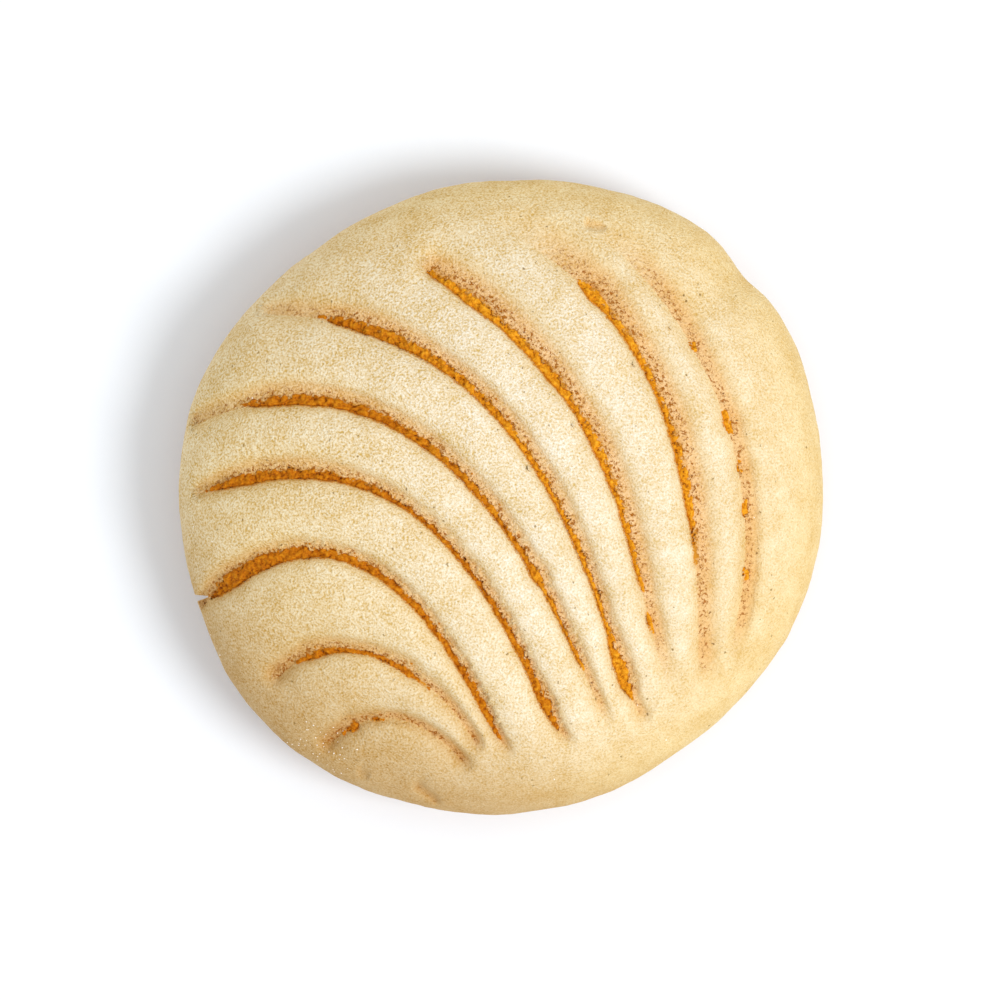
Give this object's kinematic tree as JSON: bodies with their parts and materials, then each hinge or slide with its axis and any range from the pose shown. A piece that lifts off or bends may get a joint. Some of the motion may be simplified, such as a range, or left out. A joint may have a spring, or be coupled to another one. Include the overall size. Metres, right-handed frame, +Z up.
{
  "type": "concha sweet bread",
  "caption": "Round sweet bread roll with a domed top and flat base, under a pale sugar-paste shell scored in a fan of curved cuts that open onto golden bread.",
  "frame": {"origin": "centre of the flat base the roll stands on, under the middle of its outline", "axes": "+Z up through the crown; seen from above with +Y at the top, the cuts fan out from the low edge at -Y and sweep round to the left at -X"},
  "size_m": [0.1144, 0.1127, 0.044],
  "materials": {
    "bread_crust": "baked golden bread crust, granular and matte",
    "sugar_paste": "baked sugar paste, pale cream, fine-grained and matte"
  },
  "bodies": {
    "root": {"bun": "bread_crust", "topping": "sugar_paste"}
  },
  "joints": []
}
